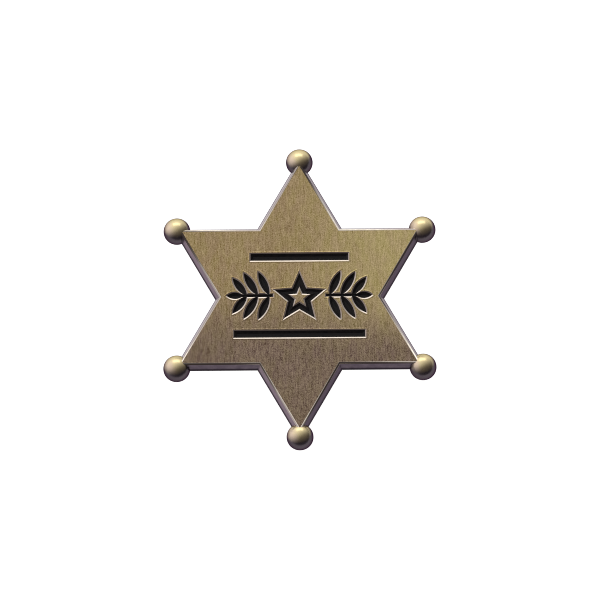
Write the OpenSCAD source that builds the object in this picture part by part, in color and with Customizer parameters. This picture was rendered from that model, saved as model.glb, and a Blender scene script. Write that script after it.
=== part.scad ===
// Six-pointed star badge with ball tips, lying face up on its bar pin.
// The star, its balls and its recesses are one casting. Black enamel lies in the
// recesses, and a bar pin is fixed across the back.
// Millimetres. +Z is up, +Y points to the top ball, and the origin is on the surface
// that the badge lies on, under the middle of its outline.

/* [Star] */
// Height over the top and bottom balls
badge_height = 45; // [43:0.5:60]
// Radius of each ball tip
ball_r = 1.95; // [1.7:0.05:2.2]
// Thickness of the cast plate, from back to face
plate_t = 1.75; // [1.4:0.05:1.9]
// How far the sloping side walls lean in between the back and the face bevel
wall_lean = 0.45; // [0.1:0.05:0.6]
// Width and height of the polished bevel round the face
bevel = 0.25; // [0.1:0.05:0.4]

/* [Recesses] */
// Depth of the recesses below the face
recess_depth = 0.45; // [0.3:0.05:0.6]
// Thickness of the enamel in the recesses
enamel_t = 0.2; // [0.1:0.05:0.25]
// Length of the upper bar
upper_bar_w = 14.1; // [10:0.1:16]
// Length of the lower bar
lower_bar_w = 18.9; // [14:0.1:20]
// Height of each bar on the face
bar_h = 1; // [0.7:0.05:1.2]
// From the middle of the design to the middle of each bar
bar_offset = 5.75; // [5.6:0.05:6]
// Middle of the design above the middle of the star
design_y = 0.15; // [-0.1:0.05:0.4]
// Tip radius of the centre star
motif_star_r = 3.7; // [3.2:0.1:3.8]
// Tip radius of the raised star left standing inside it
motif_island_r = 1.7; // [1.2:0.05:2]
// Width of each sprig's stem
stem_w = 0.4; // [0.3:0.05:0.5]

/* [Bar pin] */
// Height that the bar pin stands off the back
pin_standoff = 4.4; // [4:0.1:6]
// Length of the bar
pin_length = 20; // [16:0.5:20]
// Width of the bar
pin_width = 4.6; // [4.4:0.1:6]
// Thickness of the bar's strip and of its folded ends
strip_t = 0.7; // [0.5:0.05:0.7]
// Diameter of the pin wire
wire_d = 0.9; // [0.7:0.05:1]

/* [Hidden] */

BRONZE = [0.56, 0.48, 0.36];
DARK_BRONZE = [0.42, 0.36, 0.30];
ENAMEL = [0.08, 0.07, 0.07];

arms = 6;
face_z = pin_standoff + plate_t;
ball_orbit = badge_height / 2 - ball_r;
// The balls' centres lie this far above the plane of the back
ball_rise = 0.1;
// The straight edges would meet this far beyond the balls' centres
tip_past_ball = 0.65;
// In a six-pointed star the tips lie twice as far from the centre as the edges
back_edge_d = (ball_orbit + tip_past_ball) / 2;
wall_top_d = back_edge_d - wall_lean;
floor_z = face_z - recess_depth;
// Room between the enamel and its recess, and between the bar pin and the back
enamel_gap = 0.03;
solder_gap = 0.03;
// Larger than the badge, for the blocks that trim it
big = 80;
// What a cutting tool runs past the surface that it cuts
past = 1;
round_fn = 64;
arc_fn = 128;

// Centre star: its points, and how far in its notches lie as a share of the tip radius
star_points = 5;
half_step = 180 / star_points;
notch_share = 0.45;
// The edges of that star lie this share of its tip radius from its centre
edge_share = notch_share * sin(half_step)
    / sqrt(1 + pow(notch_share, 2) - 2 * notch_share * cos(half_step));
// A five-pointed star reaches further up than down, so its centre sits lower
motif_star_drop = motif_star_r * (1 - cos(half_step)) / 2;

// Each row is a pair of leaves: where it leaves the stem, measured from the middle of the
// design, then the length and width of a leaf, and its angle off the stem
LEAF_PAIRS = [
    // place, length, width, angle
    [4.35, 3.85, 1.02, 66],
    [6.00, 3.95, 1.06, 59],
    [7.60, 3.30, 1.00, 52],
];
function place_of(row) = row[0];
function length_of(row) = row[1];
function width_of(row) = row[2];
function angle_of(row) = row[3];
stem_start = 3.85;
stem_end = 8.6;
end_leaf_place = 8.1;
end_leaf_length = 2.4;
end_leaf_w = 0.9;

// Bar pin: the ends are folded down from the strip to the surface
end_l = 2.8;
ear_gap = 2;
coil_r = 1;
wire_z = 1.35;
wire_tip = 1.1;
rivet_d = 1;
hook_gap = 1.5;
lip_h = 1.6;
strip_top_z = pin_standoff - solder_gap;
strip_z = strip_top_z - strip_t;

// Everything on the inner side of a wall that leans inwards by run over rise from
// distance d at height z
module inner_side(d, z, run, rise)
    translate([d, 0, z])
        rotate([0, -atan2(run, rise), 0])
            translate([-big, -big, -big])
                cube([big, 2 * big, 2 * big]);

// One of the two crossed triangles of the star, with sloping walls and a bevelled face
module bevelled_triangle()
    intersection() {
        intersection_for(a = [30, 150, 270])
            rotate(a)
                intersection() {
                    inner_side(back_edge_d, pin_standoff, wall_lean, plate_t - bevel);
                    inner_side(wall_top_d, face_z - bevel, bevel, bevel);
                }
        translate([-big / 2, -big / 2, pin_standoff])
            cube([big, big, plate_t]);
    }

// A ball tip: round in front and flat in the plane of the back
module ball_tip()
    intersection() {
        translate([0, 0, ball_rise])
            sphere(r = ball_r, $fn = round_fn);
        translate([-ball_r - past, -ball_r - past, 0])
            cube(2 * (ball_r + past));
    }

// The five-pointed star as an outline, drawn in by inset on every edge
module star_shape(tip_r, inset = 0) {
    r = tip_r - inset / edge_share;
    polygon([for (i = [0 : 2 * star_points - 1])
        let (a = 90 + i * half_step, reach = i % 2 == 0 ? r : r * notch_share)
            [reach * cos(a), reach * sin(a)]]);
}

// A pointed leaf from the origin along +X, between two arcs
module leaf_shape(length, width, inset = 0) {
    l = length - 2 * inset;
    w = width - 2 * inset;
    arc_r = (l * l + w * w) / (4 * w);
    translate([length / 2, 0])
        intersection() {
            translate([0, arc_r - w / 2]) circle(r = arc_r, $fn = arc_fn);
            translate([0, w / 2 - arc_r]) circle(r = arc_r, $fn = arc_fn);
        }
}

module bar_shape(w, inset = 0)
    square([w - 2 * inset, bar_h - 2 * inset], center = true);

module centre_star_shape(inset = 0)
    translate([0, -motif_star_drop])
        difference() {
            star_shape(motif_star_r, inset);
            star_shape(motif_island_r, -inset);
        }

// The right-hand sprig: a stem with pairs of leaves and one leaf at its end
module sprig_shape(inset = 0) {
    translate([stem_start + inset, inset - stem_w / 2])
        square([stem_end - stem_start - inset, stem_w - 2 * inset]);
    for (row = LEAF_PAIRS, side = [-1, 1])
        translate([place_of(row), 0])
            rotate(side * angle_of(row))
                leaf_shape(length_of(row), width_of(row), inset);
    translate([end_leaf_place, 0])
        leaf_shape(end_leaf_length, end_leaf_w, inset);
}

// Cuts a recess of the given outline into the face
module recess()
    translate([0, 0, floor_z])
        linear_extrude(recess_depth + past) children();

// A layer of enamel of the given outline on the floor of its recess
module enamel()
    color(ENAMEL)
        translate([0, 0, floor_z + enamel_gap])
            linear_extrude(enamel_t - enamel_gap) children();

module star()
    color(BRONZE)
        difference() {
            union() {
                bevelled_triangle();
                rotate(180) bevelled_triangle();
                for (i = [0 : arms - 1])
                    rotate(30 + i * 360 / arms)
                        translate([ball_orbit, 0, pin_standoff]) ball_tip();
            }
            recess() translate([0, design_y + bar_offset]) bar_shape(upper_bar_w);
            recess() translate([0, design_y - bar_offset]) bar_shape(lower_bar_w);
            recess() translate([0, design_y]) centre_star_shape();
            for (side = [0, 1])
                mirror([side, 0, 0])
                    recess() translate([0, design_y]) sprig_shape();
        }

module upper_bar_enamel()
    enamel() translate([0, design_y + bar_offset]) bar_shape(upper_bar_w, enamel_gap);

module lower_bar_enamel()
    enamel() translate([0, design_y - bar_offset]) bar_shape(lower_bar_w, enamel_gap);

module centre_star_enamel()
    enamel() translate([0, design_y]) centre_star_shape(enamel_gap);

module right_sprig_enamel()
    enamel() translate([0, design_y]) sprig_shape(enamel_gap);

module left_sprig_enamel()
    mirror([1, 0, 0]) right_sprig_enamel();

// Two ears folded down from the strip, with the eye of the pin wire riveted between them
module hinge_end() {
    for (side = [-1, 1])
        translate([pin_length / 2 - end_l, side * (ear_gap + strip_t) / 2 - strip_t / 2, 0])
            cube([end_l, strip_t, strip_z + strip_t / 2]);
    translate([pin_length / 2 - end_l / 2, 0, wire_z])
        rotate([90, 0, 0]) {
            cylinder(h = ear_gap + strip_t, r = coil_r, center = true, $fn = round_fn);
            cylinder(h = ear_gap + 3 * strip_t, d = rivet_d, center = true, $fn = round_fn);
        }
}

// A hook folded down and round under the point of the pin wire
module catch_end()
    translate([-pin_length / 2, 0, 0]) {
        translate([0, hook_gap / 2, 0])
            cube([end_l, strip_t, strip_z + strip_t / 2]);
        translate([0, -hook_gap / 2 - strip_t, 0])
            cube([end_l, hook_gap + 2 * strip_t, strip_t]);
        translate([0, -hook_gap / 2 - strip_t, 0])
            cube([end_l, strip_t, lip_h]);
    }

// The wire runs from the hinge through the hook, and ends in a point
module pin_wire() {
    wire_start = pin_length / 2 - end_l / 2;
    wire_end = -pin_length / 2 - wire_tip;
    point_l = 3 * wire_d;
    translate([wire_end + point_l, 0, wire_z])
        rotate([0, 90, 0])
            cylinder(h = wire_start - wire_end - point_l, d = wire_d, $fn = round_fn);
    translate([wire_end, 0, wire_z])
        rotate([0, 90, 0])
            cylinder(h = point_l, d1 = wire_d / 6, d2 = wire_d, $fn = round_fn);
}

module bar_pin()
    color(DARK_BRONZE)
        translate([wire_tip / 2, 0, 0]) {
            translate([-pin_length / 2, -pin_width / 2, strip_z])
                cube([pin_length, pin_width, strip_t]);
            hinge_end();
            catch_end();
            pin_wire();
        }

star();
upper_bar_enamel();
lower_bar_enamel();
centre_star_enamel();
left_sprig_enamel();
right_sprig_enamel();
bar_pin();
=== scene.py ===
"""The looks of a cast six-pointed star badge with ball tips.

Each sub-assembly is a class that models its own mesh and dresses it. Meshes are modelled in
millimetres, where Blender's editing tools are accurate, and brought to metres when finished.
"""

import logging
import math
from collections.abc import Callable, Iterator, Sequence
from contextlib import contextmanager
from dataclasses import dataclass, field
from enum import Enum

import bmesh
import bpy
from mathutils import Matrix, Vector

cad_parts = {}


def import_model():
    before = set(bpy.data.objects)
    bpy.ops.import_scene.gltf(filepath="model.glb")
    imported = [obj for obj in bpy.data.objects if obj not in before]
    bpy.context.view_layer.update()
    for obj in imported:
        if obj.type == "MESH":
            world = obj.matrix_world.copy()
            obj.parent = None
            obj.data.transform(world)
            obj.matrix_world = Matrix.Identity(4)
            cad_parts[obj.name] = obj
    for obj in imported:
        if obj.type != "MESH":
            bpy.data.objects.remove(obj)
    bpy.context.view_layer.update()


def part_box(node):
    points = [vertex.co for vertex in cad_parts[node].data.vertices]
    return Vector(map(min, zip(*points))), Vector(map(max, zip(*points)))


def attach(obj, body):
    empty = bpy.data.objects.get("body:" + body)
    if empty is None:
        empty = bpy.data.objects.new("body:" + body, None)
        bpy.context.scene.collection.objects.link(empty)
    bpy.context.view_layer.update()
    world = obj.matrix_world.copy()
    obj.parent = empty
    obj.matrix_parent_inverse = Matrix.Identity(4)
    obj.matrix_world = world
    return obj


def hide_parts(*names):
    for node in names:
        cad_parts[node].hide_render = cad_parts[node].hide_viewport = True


MM = 0.001
BODY = "root"

log = logging.getLogger("badge")

# A colour, a place or a way
Triple = tuple[float, float, float]
# Picks elements by their places and by the ways that they face or run
Test = Callable[[Vector, Vector], bool]


class Element(Enum):
    """The mesh elements that a selection may be made of. The value is a mesh's name for them."""

    VERT = "verts"
    EDGE = "edges"
    FACE = "faces"


class Operation(Enum):
    """The ways in which one solid may change another."""

    UNION = "UNION"
    DIFFERENCE = "DIFFERENCE"
    INTERSECT = "INTERSECT"


class Region(Enum):
    """The parts of the casting that are finished differently. The value is the slot's place."""

    FACE = 0
    EDGE = 1
    WALL = 2
    BALL = 3
    BACK = 4
    RIM = 5
    RECESS = 6


class Motif(Enum):
    """The shapes recessed into the face. The value starts the names of what fills them."""

    UPPER_BAR = "upper_bar"
    LOWER_BAR = "lower_bar"
    CENTRE_STAR = "centre_star"
    LEFT_SPRIG = "left_sprig"
    RIGHT_SPRIG = "right_sprig"


# Modelling tools


def activate(piece: bpy.types.Object | None) -> None:
    """Makes a piece the only one selected, and the active one.

    Args:
        piece: The object that the next operators act on, or None to leave nothing selected.
    """
    for each in bpy.context.selected_objects:
        each.select_set(False)
    if piece:
        piece.select_set(True)
    bpy.context.view_layer.objects.active = piece


def primitive(
    name: str, add: Callable[..., set[str]], **settings: object
) -> bpy.types.Object:
    """Adds a primitive while nothing else is selected.

    Args:
        name: The new object's name.
        add: The operator that adds it.
        settings: The operator's settings.

    Returns:
        The new object.
    """
    activate(None)
    add(**settings)
    piece = bpy.context.active_object
    piece.name = piece.data.name = name
    return piece


@contextmanager
def editing(piece: bpy.types.Object, select_all: bool = False) -> Iterator[None]:
    """Opens a piece in edit mode, and closes it again.

    Args:
        piece: The mesh object to edit.
        select_all: Whether all of it starts selected, or nothing.

    Yields:
        Nothing. The selection and mesh operators act on the piece meanwhile.
    """
    activate(piece)
    bpy.ops.object.mode_set(mode="EDIT")
    bpy.ops.mesh.select_mode(type="VERT")
    bpy.ops.mesh.select_all(action="SELECT" if select_all else "DESELECT")
    yield
    bpy.ops.object.mode_set(mode="OBJECT")


def select(piece: bpy.types.Object, element: Element, wanted: Test) -> None:
    """Selects the elements of a piece in edit mode that a test accepts.

    Args:
        piece: The object being edited.
        element: Which kind of element to select.
        wanted: Takes an element's middle and its normal, or an edge's direction, and says
            whether it is selected.
    """
    mesh = bmesh.from_edit_mesh(piece.data)
    bpy.ops.mesh.select_mode(type=element.name)
    for each in getattr(mesh, element.value):
        if element is Element.EDGE:
            start, end = (vert.co for vert in each.verts)
            middle, way = (start + end) / 2, (start - end).normalized()
        else:
            middle = each.co if element is Element.VERT else each.calc_center_median()
            way = each.normal
        each.select_set(wanted(piece.matrix_world @ middle, way))
    mesh.select_flush_mode()
    bmesh.update_edit_mesh(piece.data)


def extrude(
    move: Triple, growth: Triple | None = None, centre: Vector | Triple = (0, 0, 0)
) -> None:
    """Extrudes what is selected, and scales its new end.

    Args:
        move: How far the end moves.
        growth: How much the end grows along each axis, if it does.
        centre: What it grows about.
    """
    bpy.ops.mesh.extrude_region_move(TRANSFORM_OT_translate={"value": move})
    if growth:
        bpy.ops.transform.resize(value=growth, center_override=centre)


def face_outwards(piece: bpy.types.Object) -> None:
    """Turns every face of a closed piece outwards."""
    with editing(piece, select_all=True):
        bpy.ops.mesh.normals_make_consistent(inside=False)


def apply_modifiers(piece: bpy.types.Object) -> None:
    """Applies a piece's modifiers in their order.

    Args:
        piece: The object.
    """
    activate(piece)
    for each in list(piece.modifiers):
        bpy.ops.object.modifier_apply(modifier=each.name)


def combine(
    piece: bpy.types.Object, operation: Operation, *tools: bpy.types.Object
) -> bpy.types.Object:
    """Changes a piece by other solids, which are then removed.

    Args:
        piece: The solid that is kept.
        operation: How the solids are combined.
        tools: The solids that are used up, in order.

    Returns:
        The solid that is kept.
    """
    for tool in tools:
        boolean = piece.modifiers.new(operation.value, "BOOLEAN")
        boolean.operation = operation.value
        boolean.solver = "EXACT"
        boolean.object = tool
        apply_modifiers(piece)
        bpy.data.objects.remove(tool, do_unlink=True)
    return piece


def join(pieces: Sequence[bpy.types.Object]) -> bpy.types.Object:
    """Joins pieces that don't meet into one object.

    Args:
        pieces: The objects to join. The first one is kept.

    Returns:
        The joined object.
    """
    activate(pieces[0])
    for each in pieces[1:]:
        each.select_set(True)
    bpy.ops.object.join()
    return pieces[0]


def settle(piece: bpy.types.Object) -> None:
    """Writes a piece's place and turn into its mesh, so that its object sits at the origin."""
    activate(piece)
    bpy.ops.object.transform_apply(location=True, rotation=True, scale=True)


def finish_mesh(piece: bpy.types.Object, name: str) -> bpy.types.Object:
    """Names a piece that was modelled in millimetres, and brings it to metres.

    Args:
        piece: The finished mesh object.
        name: The piece's name.

    Returns:
        The piece, at the origin.
    """
    piece.name = piece.data.name = name
    settle(piece)
    piece.scale = (MM, MM, MM)
    settle(piece)
    return piece


def hand_over(
    piece: bpy.types.Object, node: str, slot: str, *materials: bpy.types.Material
) -> None:
    """Gives a piece its materials, and its place in the frame.

    Args:
        piece: The finished piece.
        node: The CAD node that it stands for.
        slot: The record's material slot. Not used.
        materials: The materials, in the order of the piece's own slots.
    """
    indices = [face.material_index for face in piece.data.polygons]
    piece.data.materials.clear()
    for material in materials:
        piece.data.materials.append(material)
    piece.data.polygons.foreach_set("material_index", indices)
    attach(piece, BODY)
    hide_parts(node)


@dataclass(frozen=True)
class Step:
    """One ring of a solid that is raised from an outline.

    Attributes:
        z: Height of the ring, in millimetres.
        spread: How far the ring stands out from the outline's nominal edges.
    """

    z: float
    spread: float


# Gives the rings of a solid, from the lowest up, for half of the width of its shape
Profile = Callable[[float], Sequence[Step]]


def eased(corners: Sequence[Step], radius: float, steps: int) -> list[Step]:
    """Rounds the inner corners of a profile.

    Args:
        corners: The profile's corners, from its lowest ring to its highest.
        radius: How far from each corner its rounding starts.
        steps: How many edges each rounding has.

    Returns:
        The profile with each inner corner replaced by a short curve.
    """
    rounded = [corners[0]]
    for before, corner, after in zip(corners, corners[1:], corners[2:]):
        middle = Vector((corner.spread, corner.z))
        towards_before, towards_after = (
            (Vector((each.spread, each.z)) - middle).normalized() * radius
            for each in (before, after)
        )
        for i in range(steps + 1):
            t = i / steps
            point = middle + towards_before * (1 - t) ** 2 + towards_after * t**2
            rounded.append(Step(point.y, point.x))
    return [*rounded, corners[-1]]


@dataclass(frozen=True)
class Outline:
    """A flat shape whose edges all move evenly when it is scaled about its centre.

    Attributes:
        centre: The shape's centre, in millimetres.
        reach: From the centre to the nominal edges, along X and along Y.
    """

    centre: tuple[float, float]
    reach: tuple[float, float]

    def start(self, name: str, z: float, spread: float) -> bpy.types.Object:
        """Adds the shape at a height, spread out from its nominal edges.

        Args:
            name: The new object's name.
            z: The shape's height, in millimetres.
            spread: How far it spreads out from its nominal edges.

        Returns:
            The new object.
        """
        raise NotImplementedError

    def raised(self, name: str, rings: Sequence[Step]) -> bpy.types.Object:
        """Raises the shape into a closed solid.

        Args:
            name: The solid's name.
            rings: The solid's rings, from the lowest up.

        Returns:
            The solid.
        """
        piece = self.start(name, rings[0].z, rings[0].spread)
        with editing(piece, select_all=True):
            for low, high in zip(rings, rings[1:]):
                growth = [(r + high.spread) / (r + low.spread) for r in self.reach]
                extrude((0, 0, high.z - low.z), (*growth, 1), (*self.centre, high.z))
        settle(piece)
        face_outwards(piece)
        return piece


def edge_share(points: int, notch_share: float) -> float:
    """Works out how far out the straight edges of a star lie.

    Args:
        points: How many points the star has.
        notch_share: How far out its notches lie, as a share of its tips.

    Returns:
        How far out its edges lie, as a share of its tips.
    """
    step = math.pi / points
    across = math.sqrt(1 + notch_share**2 - 2 * notch_share * math.cos(step))
    return notch_share * math.sin(step) / across


@dataclass(frozen=True)
class StarOutline(Outline):
    """A star with straight edges and one tip towards +Y.

    Attributes:
        points: How many points the star has.
        notch_share: How far out its notches lie, as a share of its tips.
    """

    points: int
    notch_share: float

    def start(self, name: str, z: float, spread: float) -> bpy.types.Object:
        """Adds the star at a height, spread out from its nominal edges.

        Args:
            name: The new object's name.
            z: The shape's height, in millimetres.
            spread: How far it spreads out from its nominal edges.

        Returns:
            The new object.
        """
        step, centre = math.pi / self.points, Vector((*self.centre, z))
        piece = primitive(
            name,
            bpy.ops.mesh.primitive_circle_add,
            vertices=2 * self.points,
            radius=(self.reach[0] + spread) / edge_share(self.points, self.notch_share),
            fill_type="NGON",
            location=centre,
        )

        def in_a_notch(place: Vector, _normal: Vector) -> bool:
            """Says whether a corner is one of those between two points."""
            away = place - centre
            return round(math.atan2(away.x, away.y) / step) % 2 == 1

        with editing(piece):
            select(piece, Element.VERT, in_a_notch)
            share = self.notch_share
            bpy.ops.transform.resize(value=(share, share, 1), center_override=centre)
        return piece


@dataclass(frozen=True)
class BarOutline(Outline):
    """A rectangle that runs along X."""

    def start(self, name: str, z: float, spread: float) -> bpy.types.Object:
        """Adds the rectangle at a height, spread out from its nominal edges.

        Args:
            name: The new object's name.
            z: The shape's height, in millimetres.
            spread: How far it spreads out from its nominal edges.

        Returns:
            The new object.
        """
        middle = (*self.centre, z)
        piece = primitive(name, bpy.ops.mesh.primitive_plane_add, size=2, location=middle)
        with editing(piece, select_all=True):
            size = [r + spread for r in self.reach]
            bpy.ops.transform.resize(value=(*size, 1), center_override=middle)
        return piece


@dataclass(frozen=True)
class RoundOutline(Outline):
    """A circle.

    Attributes:
        sides: How many edges it is drawn with.
    """

    sides: int

    def start(self, name: str, z: float, spread: float) -> bpy.types.Object:
        """Adds the circle at a height, spread out from its nominal edge.

        Args:
            name: The new object's name.
            z: The shape's height, in millimetres.
            spread: How far it spreads out from its nominal edges.

        Returns:
            The new object.
        """
        return primitive(
            name,
            bpy.ops.mesh.primitive_circle_add,
            vertices=self.sides,
            radius=self.reach[0] + spread,
            fill_type="NGON",
            location=(*self.centre, z),
        )


# Sizes that the sub-assemblies share


@dataclass(frozen=True)
class StarSizes:
    """The star's main sizes, in millimetres.

    Attributes:
        back_z: Height of the back of the plate.
        ball_orbit: From the star's centre to the balls' centres.
        ball_r: Radius of each ball tip.
        ball_rise: How far the balls' centres lie above the back.
        tip_past_ball: How far past the balls' centres the straight edges would meet.
        plate_t: Thickness of the plate.
        wall_lean: How far the side walls lean in.
        bevel: Width and height of the polished bevel round the face.
        recess_depth: Depth of the recesses.
        draft: How far the recesses' walls lean in down to the floor.
        arms: How many arms the star has.
    """

    back_z: float
    ball_orbit: float
    ball_r: float = 1.95
    ball_rise: float = 0.1
    tip_past_ball: float = 0.65
    plate_t: float = 1.75
    wall_lean: float = 0.53
    bevel: float = 0.17
    recess_depth: float = 0.45
    draft: float = 0.05
    arms: int = 6

    @classmethod
    def from_frame(cls) -> "StarSizes":
        """Reads the star's height and reach from the frame.

        Returns:
            The sizes.
        """
        lowest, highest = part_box("star")
        reach = (highest.y - lowest.y) / MM / 2
        return cls(back_z=lowest.z / MM, ball_orbit=reach - cls.ball_r)

    @property
    def face_z(self) -> float:
        """Height of the face."""
        return self.back_z + self.plate_t

    @property
    def floor_z(self) -> float:
        """Height of the floor of the recesses."""
        return self.face_z - self.recess_depth

    @property
    def back_edge_d(self) -> float:
        """From the centre to the straight edges at the back."""
        return (self.ball_orbit + self.tip_past_ball) / 2

    @property
    def face_edge_d(self) -> float:
        """From the centre to the straight edges of the face."""
        return self.back_edge_d - self.wall_lean - self.bevel

    def ball_centres(self) -> list[Vector]:
        """Gives the centres of the six balls.

        Returns:
            The centres, in millimetres.
        """
        orbit, z = self.ball_orbit, self.back_z + self.ball_rise
        turns = [math.pi / 2 + i * math.tau / self.arms for i in range(self.arms)]
        return [Vector((orbit * math.cos(t), orbit * math.sin(t), z)) for t in turns]

    @staticmethod
    def edge_distance(place: Vector) -> float:
        """Gives how far out a place lies, measured across the star's straight edges.

        Args:
            place: A point, in millimetres.

        Returns:
            The distance from the centre of the straight edge that runs through the place.
        """
        triangles = []
        for turn in (math.pi / 6, math.pi / 2):
            normals = [turn + i * math.tau / 3 for i in range(3)]
            triangles.append(max(place.x * math.cos(a) + place.y * math.sin(a) for a in normals))
        return min(triangles)


@dataclass(frozen=True)
class Leaf:
    """A leaf, or a pair of leaves, on a sprig's stem, in millimetres and degrees.

    Attributes:
        place: Where it leaves the stem, from the middle of the design.
        length: Its length.
        width: Its width.
        angle: Its angle off the stem.
    """

    place: float
    length: float
    width: float
    angle: float


@dataclass(frozen=True)
class Design:
    """The recessed design: two bars, an outlined star and two sprigs, in millimetres.

    Attributes:
        middle_y: Middle of the design above the middle of the star.
        bar_offset: From the middle of the design to the middle of each bar.
        bar_h: Height of each bar.
        upper_bar_w: Length of the upper bar.
        lower_bar_w: Length of the lower bar.
        star_r: Tip radius of the centre star.
        island_r: Tip radius of the raised star inside it.
        star_points: How many points the centre star has.
        notch_share: How far out its notches lie, as a share of its tips.
        stem_w: Width of each sprig's stem.
        stem_start: Where the stem starts, from the middle of the design.
        stem_end: Where the stem ends.
        leaf_pairs: The pairs of leaves.
        end_leaf: The single leaf at the end of the stem.
        arc_sides: How many edges a whole circle of a leaf's outline would have.
    """

    middle_y: float = 0.15
    bar_offset: float = 5.75
    bar_h: float = 1.0
    upper_bar_w: float = 14.1
    lower_bar_w: float = 18.9
    star_r: float = 3.7
    island_r: float = 1.7
    star_points: int = 5
    notch_share: float = 0.45
    stem_w: float = 0.4
    stem_start: float = 3.85
    stem_end: float = 8.6
    leaf_pairs: tuple[Leaf, ...] = (
        Leaf(4.35, 3.85, 1.02, 66),
        Leaf(6.00, 3.95, 1.06, 59),
        Leaf(7.60, 3.30, 1.00, 52),
    )
    end_leaf: Leaf = Leaf(8.1, 2.4, 0.9, 0)
    arc_sides: int = 144

    def solids(
        self,
        motif: Motif,
        profile: Profile,
        island: Callable[[Sequence[Step]], Sequence[Step]] | None = None,
    ) -> list[bpy.types.Object]:
        """Raises the parts of a recessed shape into solids.

        Args:
            motif: Which shape.
            profile: Gives the rings of its solids.
            island: Turns those rings into the ones of what stands inside the centre star, or
                None where nothing is left standing.

        Returns:
            The solids. A sprig's first one is its stem.
        """
        if motif in (Motif.UPPER_BAR, Motif.LOWER_BAR):
            upper = motif is Motif.UPPER_BAR
            width = self.upper_bar_w if upper else self.lower_bar_w
            y = self.middle_y + (self.bar_offset if upper else -self.bar_offset)
            return [self._bar(0.0, y, width, self.bar_h, profile)]
        if motif is Motif.CENTRE_STAR:
            outer, inner = self._star(self.star_r), self._star(self.island_r)
            rings = profile((outer.reach[0] - inner.reach[0]) / 2)
            star = outer.raised("star", rings)
            standing = [inner.raised("island", island(rings))] if island else []
            return [combine(star, Operation.DIFFERENCE, *standing)]
        side = -1 if motif is Motif.LEFT_SPRIG else 1
        length = self.stem_end - self.stem_start
        middle_x = side * (self.stem_start + length / 2)
        pairs = [(leaf, turn * leaf.angle) for leaf in self.leaf_pairs for turn in (-1, 1)]
        return [
            self._bar(middle_x, self.middle_y, length, self.stem_w, profile),
            *(
                self._leaf(leaf, angle, side, profile(leaf.width / 2))
                for leaf, angle in (*pairs, (self.end_leaf, 0.0))
            ),
        ]

    @staticmethod
    def _bar(
        x: float, y: float, width: float, height: float, profile: Profile
    ) -> bpy.types.Object:
        """Raises a bar of a width and a height about a point of the face."""
        return BarOutline((x, y), (width / 2, height / 2)).raised("bar", profile(height / 2))

    def _star(self, tip_r: float) -> StarOutline:
        """Gives the outline of a star whose height on the face is centred for the outer one.

        Args:
            tip_r: From the star's centre to each tip.

        Returns:
            The outline.
        """
        drop = self.star_r * (1 - math.cos(math.pi / self.star_points)) / 2
        edge = tip_r * edge_share(self.star_points, self.notch_share)
        centre = (0.0, self.middle_y - drop)
        return StarOutline(centre, (edge, edge), self.star_points, self.notch_share)

    def _leaf(
        self, leaf: Leaf, angle: float, side: int, rings: Sequence[Step]
    ) -> bpy.types.Object:
        """Raises one leaf, which is the overlap of two circles, into a solid.

        Args:
            leaf: The leaf's sizes.
            angle: The leaf's angle off the stem, in degrees.
            side: -1 for the left sprig and 1 for the right one.
            rings: The rings of the solid.

        Returns:
            The solid.
        """
        arc_r = (leaf.length**2 + leaf.width**2) / (4 * leaf.width)
        turn = Matrix.Rotation(math.radians(angle), 2)
        arcs = []
        for across in (-1, 1):
            centre = turn @ Vector((leaf.length / 2, across * (arc_r - leaf.width / 2)))
            place = (side * (leaf.place + centre.x), self.middle_y + centre.y)
            arcs.append(RoundOutline(place, (arc_r, arc_r), self.arc_sides).raised("leaf", rings))
        return combine(arcs[0], Operation.INTERSECT, arcs[1])


# Shader tools


WHITE = (1.0, 1.0, 1.0)
# Where a noise or a grain that runs from 0 to 1 neither adds nor takes away
MIDDLE = 0.5


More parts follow.
